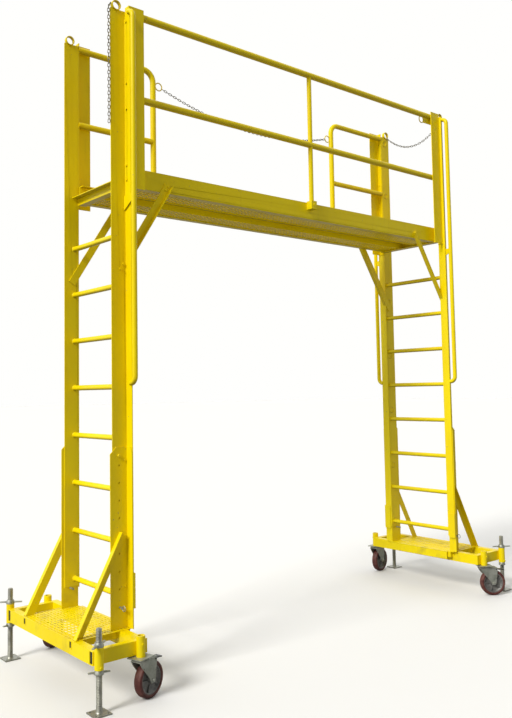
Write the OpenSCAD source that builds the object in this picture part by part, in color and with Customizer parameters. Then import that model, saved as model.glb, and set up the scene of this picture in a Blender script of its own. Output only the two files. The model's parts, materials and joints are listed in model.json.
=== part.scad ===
// Rolling bridge scaffold: two castered ladder towers carry a guarded work platform.
// Origin: floor level, midway between the towers. X runs along the platform, Y across it, Z up.

/* [Towers] */
// Clear length between the two ladders
bay_length = 3114; // [2400:1:3800]
// Clear width between the stiles of one ladder
ladder_width = 596; // [480:1:760]
// Height of the lowest rung above the floor
first_rung_height = 502; // [480:1:560]
// Spacing of the rungs
rung_pitch = 304.8; // [250:0.1:370]
// Number of rungs on each ladder below the platform
rung_count = 8; // [6:1:9]
// Diameter of a rung
rung_d = 34; // [26:1:42]
// Width of the stile leg that carries the rungs
stile_web = 105; // [90:1:140]
// Width of the stile leg that faces the platform
stile_flange = 66; // [50:1:80]
// Wall of the stiles
stile_wall = 6; // [4:0.5:8]
// Distance from the stile corner to the rung centre line
rung_inset = 31; // [26:1:46]

/* [Platform] */
// Height of the channels along the platform
side_channel_h = 121; // [100:1:150]
// Width of the channel flanges
channel_flange = 46; // [36:1:60]
// Wall of the channels
channel_wall = 6; // [4:0.5:8]
// Depth of the deck planks
plank_h = 38; // [30:1:50]
// Width of the plain plank in the middle
centre_plank_w = 160; // [120:1:200]
// Gap between neighbouring planks
plank_gap = 3; // [2:0.5:6]
// Sheet of the planks
plank_wall = 3; // [2:0.5:5]
// Height of the end beams
end_beam_h = 50; // [36:1:60]

/* [Guardrails] */
// Height of the top rail above the deck
top_rail_rise = 1032; // [900:1:1200]
// Height of the middle rail above the deck
mid_rail_rise = 505; // [450:1:600]
// Diameter of the guardrail tubes
guard_d = 45; // [36:1:52]
// Diameter of the post in the middle of the front guardrail
centre_post_d = 34; // [28:1:45]
// Diameter of the hoop tubes at the back
hoop_d = 42; // [32:1:50]
// Bend radius of the hoops
hoop_bend = 80; // [60:1:120]
// Length of the left back hoop, measured from the tower
left_hoop_length = 605; // [450:1:800]
// Length of the right back hoop, measured from the tower
right_hoop_length = 655; // [450:1:800]
// Width of the guardrail end posts
end_post_w = 108; // [85:1:130]
// Depth of the guardrail end posts
end_post_depth = 45; // [38:1:60]
// Diameter of the grab rail tubes
grab_d = 33; // [26:1:40]
// Bend radius of the grab rails
grab_bend = 42; // [30:1:45]
// Distance of the grab rail from the stile face
grab_offset = 106; // [95:1:130]

/* [Bases] */
// Length of a base across the platform, between the end tubes
base_length = 1020; // [860:1:1200]
// Distance from the ladder face to the outer edge of the base
base_reach = 373; // [330:1:460]
// Height of the base tubes
base_tube_h = 76; // [60:1:84]
// Height of the underside of the base tubes
base_clearance = 244; // [240:1:280]
// Width of the long base tubes
base_tube_w = 50; // [40:1:60]
// Width of the end tubes
end_tube_w = 40; // [30:1:50]
// Wall of the base tubes
base_wall = 5; // [3:0.5:6]
// Height of the sleeve tops above the floor
sleeve_top = 1367; // [1100:1:1500]
// Pitch of the adjusting holes
hole_pitch = 101.6; // [80:0.1:120]
// Height of the lowest adjusting hole
pin_height = 446; // [420:1:470]
// Diameter of the lock pins
pin_d = 12; // [10:1:16]

/* [Jacks and casters] */
// Diameter of the jack screws
screw_d = 34; // [28:1:38]
// Outer diameter of the corner sockets
socket_d = 50; // [46:1:60]
// Side of the square jack plates
foot_side = 100; // [96:1:150]
// Diameter of the wheels
wheel_d = 203; // [180:1:205]
// Width of the wheels
wheel_w = 50; // [40:1:54]
// Distance from the swivel to the axle
caster_lead = 65; // [50:1:70]
// Diameter of the caster stems
stem_d = 34; // [28:1:38]

/* [Hidden] */
$fn = 48;
TOWERS = ["left", "right"];
CORNERS = ["left_near", "left_far", "right_near", "right_far"];

paint = [0.96, 0.85, 0.02];
zinc = [0.66, 0.67, 0.66];
seat = 0.3;        // gap where one piece seats on another
slide_fit = 0.08;  // radial clearance of shafts in bores
eps = 0.5;         // overrun of cuts

// Towers
corner_x = bay_length / 2;                 // platform side of the stiles
inner_y = ladder_width / 2;                // rung side of the stiles
outer_y = inner_y + stile_wall;            // outer face of the rung leg
rung_x = corner_x + rung_inset;
top_rung_z = first_rung_height + rung_pitch * (rung_count - 1);
deck_bottom = top_rung_z + rung_pitch - 2.5;
stile_bottom = pin_height + pin_d / 2 + seat;
deck_top = deck_bottom + channel_wall + plank_h;
top_rail_z = deck_top + top_rail_rise;
mid_rail_z = deck_top + mid_rail_rise;
stile_top = top_rail_z + 11;
eye_r = 31;
eye_wall = 6;
eye_w = 24;
eye_x = corner_x + stile_web * 0.62;
eye_z = stile_top + eye_r - 9;

// Platform
channel_outer = inner_y - stile_wall;      // outer face of the side channels
channel_inner = channel_outer - channel_wall;
channel_top = deck_bottom + side_channel_h;
plank_w = channel_inner - seat - centre_plank_w / 2 - plank_gap;
beam_shelf = 50;

// Knee braces
knee_top_x = corner_x - 318;
knee_top_z = deck_bottom + 52;
knee_foot_x = corner_x + 43;
knee_foot_z = deck_bottom - 513;
knee_w = 50;
knee_wall = stile_wall - seat;
knee_flange = 24;
knee_run = norm([knee_foot_x - knee_top_x, knee_top_z - knee_foot_z]);
knee_tilt = atan2(knee_top_z - knee_foot_z, knee_foot_x - knee_top_x);
bolt_d = 10;
bolt_head_d = 18;
bolt_head_h = 7;

// Guardrails
post_x = corner_x - seat;                  // tower side of the end posts
post_inner = inner_y + 2;
post_outer = post_inner + end_post_depth;
post_bottom = deck_bottom - 20;
post_top = top_rail_z + 36;
rail_end = post_x - end_post_w;
rail_y = post_outer - channel_wall - guard_d / 2 + 0.4;
hoop_y = channel_outer + hoop_d / 2 + seat;
hoop_top_z = top_rail_z - 8;
HOOP_LENGTH = [left_hoop_length, right_hoop_length];
RING_DROP = [106, 146];                    // depth of each hoop's ring below the top rail
hoop_foot = deck_bottom + 12;
ring_r = 32;
ring_wire = 8;
centre_post_x = 12;

// Grab rails
grab_y = outer_y + grab_offset;
grab_x = corner_x + 12;
grab_top = stile_top - 30;
grab_root = inner_y + stile_flange + seat; // where the grab rail meets the stile
grab_bottom = top_rung_z - rung_pitch * 3 + 20;
gusset_z = deck_bottom - 155;
gusset_h = 88;
gusset_taper = 54;

// Bases
beam_in = corner_x + 33;                   // platform side of the inner beam
base_out = corner_x + base_reach;
base_top = base_clearance + base_tube_h;
end_tube_y = base_length / 2;              // inner face of the end tubes
socket_y = end_tube_y + end_tube_w + socket_d / 2 - 2;
cross_y = inner_y - 14;                    // small tubes under the step plate
cross_w = 30;
cross_h = 45;
jack_x = base_out - socket_d / 2;
caster_x = corner_x + 89;
jack_socket_top = base_top + 25;
jack_socket_bottom = base_clearance - 16;
caster_socket_top = base_top + 33;
caster_top = base_clearance - 5;           // top of the caster plate
sheet = 4;
sleeve_wall = 6;
sleeve_inner = outer_y + seat;             // inside of the sleeve's rung leg
sleeve_outer = sleeve_inner + sleeve_wall;
sleeve_x = corner_x + stile_wall + seat;
sleeve_end_x = corner_x + stile_web + 18;
deck_half = inner_y + 44;                  // half width of the step plate
deck_in = corner_x - 17;                   // platform side of the step plate
lip_half = inner_y - 8;
sleeve_bottom = base_top + sheet + 2 * seat;

sleeve_tip = inner_y + stile_flange + sleeve_wall;
keeper_x = corner_x - seat - sleeve_wall;
keeper_bottom = pin_height - 6;
keeper_top = keeper_bottom + 200;
hole_x = corner_x + 64;
hole_count = floor((sleeve_top - 60 - pin_height) / hole_pitch) + 1;
brace_w = 50;
brace_top_z = sleeve_top - 502;
brace_top_x = corner_x + 41;
brace_foot_x = base_out - 37;
brace_flange = 32;
brace_run = norm([brace_foot_x - brace_top_x, brace_top_z - base_top]) + 20;
brace_tilt = atan2(base_top - brace_top_z, brace_foot_x - brace_top_x);

// Jacks
screw_top = jack_socket_top + 105;
foot_h = 8;
foot_hole = 36;
foot_hole_d = 12;
nut_h = 24;
wing_r = 75;
low_wing_r = 60;
screw_bore = screw_d / 2 + slide_fit;

// Casters
wheel_r = wheel_d / 2;
plate_h = 6;
race_h = 10;
crown_h = 6;
fork_wall = 6;
fork_gap = wheel_w / 2 + 3;
axle_d = 12;
stem_top = caster_socket_top - 13;
crown_z = caster_top - plate_h - race_h - crown_h;
pedal_x = caster_lead + 22;
pedal_z = crown_z - 8;
pedal_w = 44;
pedal_pin_d = 8;
CASTER_TURN = [17, 34, -34, 10];

// Chains
chain_d = 18;
chain_steps = 12;
back_sag = 129;
gate_sag = 118;
loose_length = 700;
tether_length = 710;
leg_y = inner_y + stile_wall / 2;
loose_x = corner_x + stile_web + chain_d / 2 + 1.5;
gate_y = leg_y - eye_w / 2 - chain_d / 2 - seat;
gate_ring = 14;
gate_ring_wire = 7;
gate_ring_x = corner_x + 61;
gate_ring_y = inner_y - gate_ring - gate_ring_wire / 2 - seat;
gate_ring_z = eye_z - 74;
gate_reach = gate_ring + gate_ring_wire / 2 + seat;
tether_x = corner_x + stile_wall + chain_d / 2 + 1;
tether_y = outer_y + 46;
tether_z = gusset_z + gusset_taper * (tether_y - chain_d / 2 - outer_y) / (grab_y - 8 - outer_y) - seat;

// Distance of a hoop's leg and of its ring from the middle of the platform
function hoop_leg(t) = corner_x - HOOP_LENGTH[t];
function ring_x(t) = hoop_leg(t) - hoop_d / 2 - ring_r + ring_wire / 2;
// Route of a chain that sags between two places
function sagging(a, b, sag) = [
    for (k = [0 : chain_steps]) let (t = k / chain_steps) a + t * (b - a) - [0, 0, 4 * sag * t * (1 - t)]
];
// End of the back chain at the ring of hoop t
function back_end(t) =
    let (reach = ring_r + 2 * seat, side = t == 0 ? -1 : 1, fall = t == 0 ? 19 : 16)
    [side * (ring_x(t) - reach * cos(fall)), hoop_y, top_rail_z - RING_DROP[t] - reach * sin(fall)];

BACK_CHAIN = sagging(back_end(0), back_end(1), back_sag);
GATE_CHAIN = concat([[eye_x, gate_y, eye_z - 22]], sagging(
    [eye_x, gate_y, eye_z - 34],
    [gate_ring_x, -gate_ring_y + gate_reach * cos(37), gate_ring_z - gate_reach * sin(37)],
    gate_sag
));
LOOSE_CHAIN = [
    [-eye_x - eye_r - chain_d / 2 - seat, -leg_y, eye_z + 8],
    [-eye_x - eye_r - chain_d / 2 - seat, -leg_y, eye_z - 2],
    [-loose_x, -leg_y, stile_top + 2], [-loose_x, -leg_y, stile_top - 20],
    [-loose_x, -leg_y, eye_z - 50 - loose_length]
];
TETHER_CHAIN = [[tether_x, tether_y, tether_z], [tether_x, tether_y, tether_z - tether_length]];

function side_y(i) = i % 2 == 0 ? -1 : 1;
function unit(v) = v / norm(v);
// Direction of a route at point i
function heading(route, i) = unit(route[min(i + 1, len(route) - 1)] - route[max(i - 1, 0)]);
// Ring of points round a route at point i
function ring(route, i, r, sides) =
    let (t = heading(route, i), a = unit(cross(t, [0, 0.37, 1])), b = cross(t, a))
    [for (k = [0 : sides - 1]) route[i] + r * (cos(360 * k / sides) * a + sin(360 * k / sides) * b)];

// Mirrors a shape drawn at the right far corner to corner i
module at_corner(i) {
    mirror([i < 2 ? 1 : 0, 0, 0]) mirror([0, i % 2 == 0 ? 1 : 0, 0]) children();
}

// Mirrors a shape drawn for the right tower to tower i
module at_tower(i) {
    mirror([i == 0 ? 1 : 0, 0, 0]) children();
}

// Box between two opposite corners
module block(a, b) {
    translate(a) cube(b - a);
}

// Cylinder along Y from y0 to y1
module bar_y(x, z, y0, y1, r) {
    translate([x, y0, z]) rotate([-90, 0, 0]) cylinder(h = y1 - y0, r = r);
}

// Cylinder along X from x0 to x1
module bar_x(x0, x1, y, z, r) {
    translate([x0, y, z]) rotate([0, 90, 0]) cylinder(h = x1 - x0, r = r);
}

// Six-sided bolt head on a face at y, standing out along +Y
module bolt_head(x, y, z) {
    translate([x, y, z]) rotate([-90, 0, 0]) cylinder(h = bolt_head_h, d = bolt_head_d, $fn = 6);
}

// Tube swept along a route
module swept(route, d, sides = 8) {
    count = len(route);
    points = [for (i = [0 : count - 1]) each ring(route, i, d / 2, sides)];
    walls = [
        for (i = [0 : count - 2], k = [0 : sides - 1])
            let (n = (k + 1) % sides)
            [i * sides + k, i * sides + n, (i + 1) * sides + n, (i + 1) * sides + k]
    ];
    first = [for (k = [sides - 1 : -1 : 0]) k];
    last = [for (k = [0 : sides - 1]) (count - 1) * sides + k];
    polyhedron(points = points, faces = concat(walls, [first, last]), convexity = 6);
}

// ---- Towers ----

// Places of the bolts that hold a knee brace, as [x, z]
function knee_bolts_foot() = [
    for (s = [0, 36]) [knee_foot_x - s * cos(knee_tilt), knee_foot_z + s * sin(knee_tilt)]
];
function knee_bolts_head() = [
    for (s = [12, 42]) [knee_top_x + s * cos(knee_tilt), knee_top_z - s * sin(knee_tilt)]
];
// Heights of the bolts between a stile and an end post
function post_bolts() = [deck_bottom + 30, deck_bottom + 120, mid_rail_z - 80, mid_rail_z + 80, top_rail_z - 60];

module stile(i) {
    color(paint) at_corner(i) difference() {
        union() {
            block([corner_x, inner_y, stile_bottom], [corner_x + stile_web, outer_y, stile_top]);
            block([corner_x, inner_y, stile_bottom], [corner_x + stile_wall, inner_y + stile_flange, stile_top]);
            bar_y(eye_x, eye_z, inner_y + stile_wall / 2 - eye_w / 2, inner_y + stile_wall / 2 + eye_w / 2, eye_r);
        }
        bar_y(eye_x, eye_z, inner_y - eye_w, outer_y + eye_w, eye_r - eye_wall);
        for (p = knee_bolts_foot()) {
            bar_y(p[0], p[1], inner_y - eps, outer_y + eps, bolt_d / 2 + slide_fit);
        }
        for (z = post_bolts()) {
            bar_x(corner_x - eps, corner_x + stile_wall + eps, post_inner + end_post_depth / 2, z, bolt_d / 2 + slide_fit);
        }
    }
}

// Rungs of a ladder. The right ladder also has the ring that holds the loose end of its gate chain
module rungs(t) {
    color(paint) at_tower(t)
        for (k = [0 : rung_count - 1]) {
            bar_y(rung_x, first_rung_height + k * rung_pitch, -inner_y, inner_y, rung_d / 2);
        }
    if (t == 1) color(paint) translate([gate_ring_x, -gate_ring_y, gate_ring_z]) rotate([0, 90, 0])
        rotate_extrude() translate([gate_ring, 0]) circle(d = gate_ring_wire);
}

module grab_rail(i) {
    color(paint) at_corner(i) {
        for (z = [grab_bottom, grab_top]) {
            bar_y(grab_x, z, grab_root, grab_y - grab_bend, grab_d / 2);
        }
        translate([grab_x, 0, 0]) {
            translate([0, grab_y, grab_bottom + grab_bend])
                cylinder(h = grab_top - grab_bottom - 2 * grab_bend, d = grab_d);
            translate([0, grab_y - grab_bend, grab_bottom + grab_bend]) rotate([0, 90, 0])
                rotate_extrude(angle = 90) translate([grab_bend, 0]) circle(d = grab_d);
            translate([0, grab_y - grab_bend, grab_top - grab_bend]) rotate([0, 90, 0]) rotate([0, 0, 90])
                rotate_extrude(angle = 90) translate([grab_bend, 0]) circle(d = grab_d);
        }
        translate([grab_x + 4, 0, gusset_z]) rotate([0, -90, 0]) linear_extrude(8)
            polygon([[0, outer_y + seat], [gusset_h, outer_y + seat], [gusset_h, grab_y - 8], [gusset_taper, grab_y - 8]]);
    }
}

// ---- Platform ----

module side_channel(s) {
    color(paint) mirror([0, s < 0 ? 1 : 0, 0]) difference() {
        block([-corner_x + seat, channel_outer - channel_flange, deck_bottom],
              [corner_x - seat, channel_outer, channel_top]);
        block([-corner_x, channel_outer - channel_flange - eps, deck_bottom + channel_wall],
              [corner_x, channel_inner, channel_top - channel_wall]);
        for (sx = [-1, 1]) for (p = knee_bolts_head()) {
            bar_y(sx * p[0], p[1], channel_inner - eps, channel_outer + eps, bolt_d / 2 + slide_fit);
        }
    }
}

// Pressed plank from y0 to y1, open underneath
module plank(y0, y1, z0) {
    z1 = deck_top + seat;
    end_x = corner_x - 2;
    color(paint) difference() {
        block([-end_x, y0, z0], [end_x, y1, z1]);
        block([-end_x - eps, y0 + plank_wall, z0 - eps], [end_x + eps, y1 - plank_wall, z1 - plank_wall]);
    }
}

module near_plank() {
    plank(-channel_inner + seat, -channel_inner + seat + plank_w, deck_bottom + channel_wall + seat);
}

// Rests on the shelves of the end beams
module centre_plank() {
    plank(-centre_plank_w / 2, centre_plank_w / 2, deck_bottom);
}

module far_plank() {
    plank(channel_inner - seat - plank_w, channel_inner - seat, deck_bottom + channel_wall + seat);
}

// Z-shaped beam across the ladder: its lower flange carries the platform, its upper one is a step
module end_beam(t) {
    y = inner_y - seat;
    z0 = deck_bottom - seat - channel_wall;
    color(paint) at_tower(t) {
        block([corner_x, -y, z0], [corner_x + channel_wall, y, z0 + end_beam_h]);
        block([corner_x - beam_shelf, -y, z0], [corner_x + 1, y, z0 + channel_wall]);
        block([corner_x + 1, -y, z0 + end_beam_h - channel_wall], [corner_x + beam_shelf, y, z0 + end_beam_h]);
    }
}

// Angle from a side channel down to the stile, with its bolts
module knee_brace(i) {
    face = channel_outer + seat / 2;
    back = face + knee_wall;
    color(paint) at_corner(i) {
        difference() {
            translate([knee_top_x, 0, knee_top_z]) rotate([0, knee_tilt, 0]) {
                block([0, face, -knee_w / 2], [knee_run + 20, back, knee_w / 2]);
                block([0, face, -knee_w / 2], [knee_run, back + knee_flange, -knee_w / 2 + knee_wall]);
            }
            block([corner_x - 3, back, knee_foot_z - 100], [corner_x + 200, back + 60, knee_top_z]);
        }
        for (p = knee_bolts_foot()) {
            bar_y(p[0], p[1], face + 1, outer_y + 1, bolt_d / 2);
            bolt_head(p[0], outer_y + seat / 2, p[1]);
        }
        for (p = knee_bolts_head()) {
            bar_y(p[0], p[1], channel_inner + 1, face + 1, bolt_d / 2);
            bolt_head(p[0], back - 1, p[1]);
        }
    }
}

// ---- Guardrails ----

// Angle bolted to the stile, drawn at the right far corner
module end_post() {
    middle = post_inner + end_post_depth / 2;
    block([rail_end, post_outer - channel_wall, post_bottom], [post_x, post_outer, post_top]);
    block([post_x - channel_wall, post_inner, post_bottom], [post_x, post_outer, post_top]);
    for (z = post_bolts()) {
        bar_x(post_x - channel_wall - 6, corner_x + stile_wall + 1, middle, z, bolt_d / 2);
        translate([corner_x + stile_wall + seat / 2, middle, z]) rotate([0, 90, 0])
            cylinder(h = bolt_head_h, d = bolt_head_d, $fn = 6);
    }
}

// Ring of wire in the plane of the rails
module rail_ring(x, y, z) {
    translate([x, y, z]) rotate([90, 0, 0])
        rotate_extrude() translate([ring_r - ring_wire / 2, 0]) circle(d = ring_wire);
}

module front_guardrail() {
    socket_h = 60;
    socket_side = guard_d + 8;
    socket_z = channel_top - 54;
    catch_x = rail_end - 76;
    color(paint) mirror([0, 1, 0]) {
        end_post();
        mirror([1, 0, 0]) end_post();
        for (z = [top_rail_z, mid_rail_z]) {
            bar_x(-post_x + 3, post_x - 3, rail_y, z, guard_d / 2);
        }
        // Plate and ring that catch the gate chain beside the right end post
        block([catch_x, rail_y - 3, top_rail_z - 67], [rail_end + 35, rail_y + 3, top_rail_z - 12]);
        rail_ring(catch_x - ring_r + ring_wire, rail_y, top_rail_z - 44);
        translate([centre_post_x, 0, 0]) {
            translate([0, rail_y, socket_z]) cylinder(h = top_rail_z - socket_z, d = centre_post_d);
            block([-socket_side / 2, channel_outer + seat, socket_z],
                  [socket_side / 2, channel_outer + seat + socket_side, socket_z + socket_h]);
            bolt_head(0, channel_outer + seat + socket_side - 1, socket_z + socket_h / 2);
        }
    }
}

// Hoop of tube with a rounded corner, its end post, foot clip and chain ring
module hoop(t) {
    leg_x = hoop_leg(t);
    bend_x = leg_x + hoop_bend;
    bend_z = hoop_top_z - hoop_bend;
    color(paint) at_tower(t) {
        end_post();
        bar_x(bend_x, post_x - 3, hoop_y, hoop_top_z, hoop_d / 2);
        bar_x(leg_x, post_x - 3, hoop_y, mid_rail_z, hoop_d / 2);
        translate([bend_x, hoop_y, bend_z]) rotate([90, 0, 0]) rotate([0, 0, 90])
            rotate_extrude(angle = 90) translate([hoop_bend, 0]) circle(d = hoop_d);
        translate([leg_x, hoop_y, hoop_foot]) cylinder(h = bend_z - hoop_foot, d = hoop_d);
        rail_ring(ring_x(t), hoop_y, top_rail_z - RING_DROP[t]);
        block([leg_x - 44, channel_outer + seat, hoop_foot + 30],
              [leg_x + 44, channel_outer + seat + 6, hoop_foot + 80]);
        for (s = [-1, 1]) {
            bolt_head(leg_x + s * 33, channel_outer + seat + 5, hoop_foot + 55);
        }
    }
}

// ---- Chains ----

module back_chain() {
    color(zinc) swept(BACK_CHAIN, chain_d);
}

module right_gate_chain() {
    color(zinc) swept(GATE_CHAIN, chain_d);
}

module left_gate_chain() {
    color(zinc) swept(LOOSE_CHAIN, chain_d);
}

module tether_chain() {
    color(zinc) swept(TETHER_CHAIN, chain_d);
}

// ---- Bases ----

// Welded frame of a base, with a jack socket at each outer corner and a caster socket at each inner one
module base_frame(t) {
    end_tube_out = end_tube_y + end_tube_w;
    color(paint) at_tower(t) difference() {
        union() {
            for (x = [beam_in, base_out - base_tube_w]) {
                block([x, -end_tube_y - 1, base_clearance], [x + base_tube_w, end_tube_y + 1, base_top]);
            }
            for (s = [0, 1]) mirror([0, s, 0]) {
                block([beam_in, end_tube_y, base_clearance], [base_out, end_tube_out, base_top]);
                block([corner_x, cross_y, base_top - cross_h], [base_out + 2, cross_y + cross_w, base_top]);
                translate([jack_x, socket_y, jack_socket_bottom])
                    cylinder(h = jack_socket_top - jack_socket_bottom, d = socket_d);
                translate([caster_x, socket_y, caster_top + seat])
                    cylinder(h = caster_socket_top - caster_top - seat, d = socket_d);
                bolt_head(caster_x, socket_y + socket_d / 2 - 2, base_top - 12);
                bolt_head(jack_x, socket_y + socket_d / 2 - 2, base_clearance - 4);
            }
        }
        // Inside of the tubes
        for (x = [beam_in, base_out - base_tube_w]) {
            block([x + base_wall, -end_tube_y - 1, base_clearance + base_wall],
                  [x + base_tube_w - base_wall, end_tube_y + 1, base_top - base_wall]);
        }
        for (s = [0, 1]) mirror([0, s, 0]) {
            block([beam_in + base_wall, end_tube_y + base_wall, base_clearance + base_wall],
                  [base_out + 3, end_tube_out - base_wall, base_top - base_wall]);
            block([corner_x + base_wall, cross_y + base_wall, base_top - cross_h + base_wall],
                  [base_out + 3, cross_y + cross_w - base_wall, base_top - base_wall]);
            translate([jack_x, socket_y, jack_socket_bottom - eps])
                cylinder(h = jack_socket_top - jack_socket_bottom + 2 * eps, r = screw_bore);
            translate([caster_x, socket_y, caster_top])
                cylinder(h = caster_socket_top - caster_top + eps, r = stem_d / 2 + slide_fit);
        }
    }
}

// Step plate under the sleeves, folded down at the platform side
module base_deck(t) {
    z0 = base_top + seat;
    color(paint) at_tower(t) {
        block([deck_in, -lip_half, z0], [corner_x, lip_half, z0 + sheet]);
        block([corner_x - 1, -deck_half, z0], [base_out, deck_half, z0 + sheet]);
        block([deck_in, -lip_half, z0 - 62], [deck_in + sheet, lip_half, z0 + 1]);
    }
}

// Angle that guides the stile, with its adjusting holes, keeper and diagonal brace
module sleeve(i) {
    chamfer = 40;
    brace_y = sleeve_outer - 1;
    color(paint) at_corner(i) difference() {
        union() {
            translate([0, sleeve_outer, 0]) rotate([90, 0, 0]) linear_extrude(sleeve_wall) polygon([
                [sleeve_x, sleeve_bottom], [sleeve_end_x, sleeve_bottom], [sleeve_end_x, sleeve_top - chamfer],
                [sleeve_end_x - chamfer, sleeve_top], [sleeve_x, sleeve_top]
            ]);
            translate([sleeve_x, 0, 0]) rotate([90, 0, 90]) linear_extrude(sleeve_wall) polygon([
                [sleeve_inner, sleeve_bottom], [sleeve_tip, sleeve_bottom],
                [sleeve_tip, sleeve_top - chamfer], [sleeve_tip - chamfer / 2, sleeve_top], [sleeve_inner, sleeve_top]
            ]);
            // Keeper that wraps round the stile's other leg
            block([keeper_x, sleeve_tip - sleeve_wall + seat, keeper_bottom],
                  [sleeve_x + 1, sleeve_tip, keeper_top]);
            block([keeper_x, inner_y + 14, keeper_bottom], [keeper_x + sleeve_wall, sleeve_tip, keeper_top]);
            translate([brace_top_x, 0, brace_top_z]) rotate([0, -brace_tilt, 0]) {
                block([0, brace_y, -brace_w / 2], [brace_run, brace_y + sleeve_wall, brace_w / 2]);
                block([0, brace_y, brace_w / 2 - sleeve_wall], [brace_run, brace_y + brace_flange, brace_w / 2]);
            }
        }
        block([sleeve_x, brace_y - eps, 0], [base_out + 80, brace_y + 80, sleeve_bottom]);
        for (k = [0 : hole_count - 1]) {
            bar_y(hole_x, pin_height + k * hole_pitch, sleeve_inner - eps, sleeve_outer + eps, pin_d / 2 + slide_fit);
        }
    }
}

// Pin that the stile stands on, with a pull ring
module lock_pin(i) {
    color(zinc) at_corner(i) {
        bar_y(hole_x, pin_height, inner_y - 40, sleeve_outer + 26, pin_d / 2);
        bar_y(hole_x, pin_height, sleeve_outer + 25, sleeve_outer + 32, pin_d / 2 + 3);
        translate([hole_x, sleeve_outer + 32 + 14, pin_height]) rotate([0, 90, 0])
            rotate_extrude() translate([15, 0]) circle(d = 5);
    }
}

// ---- Jacks ----

// Two wing nuts that hold the screw in its socket from above and below
module jack_nuts(i) {
    color(zinc) at_corner(i) translate([jack_x, socket_y, 0]) difference() {
        union() {
            wing_nut(jack_socket_top + seat, wing_r, 35);
            wing_nut(jack_socket_bottom - seat - nut_h, low_wing_r, -20);
        }
        translate([0, 0, jack_socket_bottom - 2 * nut_h]) cylinder(h = 300, r = screw_bore);
    }
}

module wing_nut(z, reach, turn) {
    translate([0, 0, z]) {
        cylinder(h = nut_h, d = socket_d + 4);
        rotate([0, 0, turn]) block([-reach, -9, 6], [reach, 9, 16]);
    }
}

// Screw welded to a square foot plate with four nail holes
module jack_screw(i) {
    half = foot_side / 2;
    color(zinc) at_corner(i) translate([jack_x, socket_y, 0]) {
        translate([0, 0, foot_h - 1]) cylinder(h = screw_top - foot_h + 1, d = screw_d);
        difference() {
            block([-half, -half, 0], [half, half, foot_h]);
            for (x = [-1, 1], y = [-1, 1]) {
                translate([x * foot_hole, y * foot_hole, -eps]) cylinder(h = foot_h + 2 * eps, d = foot_hole_d);
            }
        }
    }
}

// ---- Casters ----

// Places a caster piece at corner i, turned to its resting direction
module at_caster(i) {
    translate([(i < 2 ? -1 : 1) * caster_x, side_y(i) * socket_y, 0]) rotate([0, 0, CASTER_TURN[i]]) children();
}

module caster_fork(i) {
    plate_x = 57;
    plate_y = 50;
    crown_y = fork_gap + fork_wall;
    color(zinc) at_caster(i) difference() {
        union() {
            translate([0, 0, caster_top - 1]) cylinder(h = stem_top - caster_top + 1, d = stem_d);
            block([-plate_x, -plate_y, caster_top - plate_h], [plate_x, plate_y, caster_top]);
            translate([0, 0, crown_z + crown_h - 1]) cylinder(h = race_h + 2, d = 88);
            block([-44, -crown_y, crown_z], [pedal_x + 10, crown_y, crown_z + crown_h]);
            for (s = [0, 1]) mirror([0, s, 0])
                translate([0, fork_gap + fork_wall, 0]) rotate([90, 0, 0]) linear_extrude(fork_wall) polygon([
                    [-44, crown_z + 1], [pedal_x + 10, crown_z + 1], [pedal_x + 10, crown_z - 20],
                    [caster_lead + 20, wheel_r + 8], [caster_lead + 14, wheel_r - 16],
                    [caster_lead - 14, wheel_r - 16], [caster_lead - 24, wheel_r + 8], [-30, crown_z - 24]
                ]);
            bar_y(caster_lead, wheel_r, -crown_y - 10, crown_y + 10, axle_d / 2);
            for (y = [-crown_y - 8, crown_y - 1]) {
                translate([caster_lead, y, wheel_r]) rotate([-90, 0, 0]) cylinder(h = 9, d = 20, $fn = 6);
            }
        }
        bar_y(pedal_x, pedal_z, -crown_y - eps, crown_y + eps, pedal_pin_d / 2 + slide_fit);
    }
}

module wheel(i) {
    hub_w = fork_gap - seat;
    color([0.42, 0.10, 0.07]) at_caster(i) translate([caster_lead, 0, wheel_r]) rotate([90, 0, 0])
        rotate_extrude($fn = 64) polygon([
            [axle_d / 2 + slide_fit, -hub_w], [22, -hub_w], [26, -hub_w + 8], [wheel_r - 24, -hub_w + 12],
            [wheel_r - 20, -wheel_w / 2], [wheel_r - 7, -wheel_w / 2], [wheel_r, -wheel_w / 2 + 9],
            [wheel_r, wheel_w / 2 - 9], [wheel_r - 7, wheel_w / 2], [wheel_r - 20, wheel_w / 2],
            [wheel_r - 24, hub_w - 12], [26, hub_w - 8], [22, hub_w], [axle_d / 2 + slide_fit, hub_w]
        ]);
}

module brake_pedal(i) {
    pin_y = fork_gap + fork_wall + 3;
    color([0.08, 0.08, 0.08]) at_caster(i) {
        bar_y(pedal_x, pedal_z, -pin_y, pin_y, pedal_pin_d / 2);
        bar_y(pedal_x, pedal_z, 3 - pedal_w / 2, pedal_w / 2 - 3, 6.5);
        translate([pedal_x, 0, pedal_z]) rotate([0, 6, 0])
            block([2, -pedal_w / 2, -3], [70, pedal_w / 2, 3]);
    }
}

// ---- Assembly ----

for (i = [0 : 3]) {
    stile(i);
    knee_brace(i);
    grab_rail(i);
    sleeve(i);
    lock_pin(i);
    jack_nuts(i);
    jack_screw(i);
    caster_fork(i);
    wheel(i);
    brake_pedal(i);
}
for (t = [0, 1]) {
    rungs(t);
    end_beam(t);
    hoop(t);
    base_frame(t);
    base_deck(t);
}
side_channel(-1);  // near_side_channel
side_channel(1);  // far_side_channel
near_plank();
centre_plank();
far_plank();
front_guardrail();
back_chain();
right_gate_chain();
left_gate_chain();
tether_chain();
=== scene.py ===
# %% [markdown]
# # A rolling bridge scaffold
#
# Two ladder towers on castered bases carry a walkway. The CAD model already has every piece at its
# true size, and its joints. Here it gets what the shop and the years gave it: yellow paint over
# steel, dull zinc on the jacks and casters, threads, links, punched treads and weld beads.
#
# Each new piece is made in metres, in the CAD model's own frame, so nothing has to be fitted later.

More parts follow.
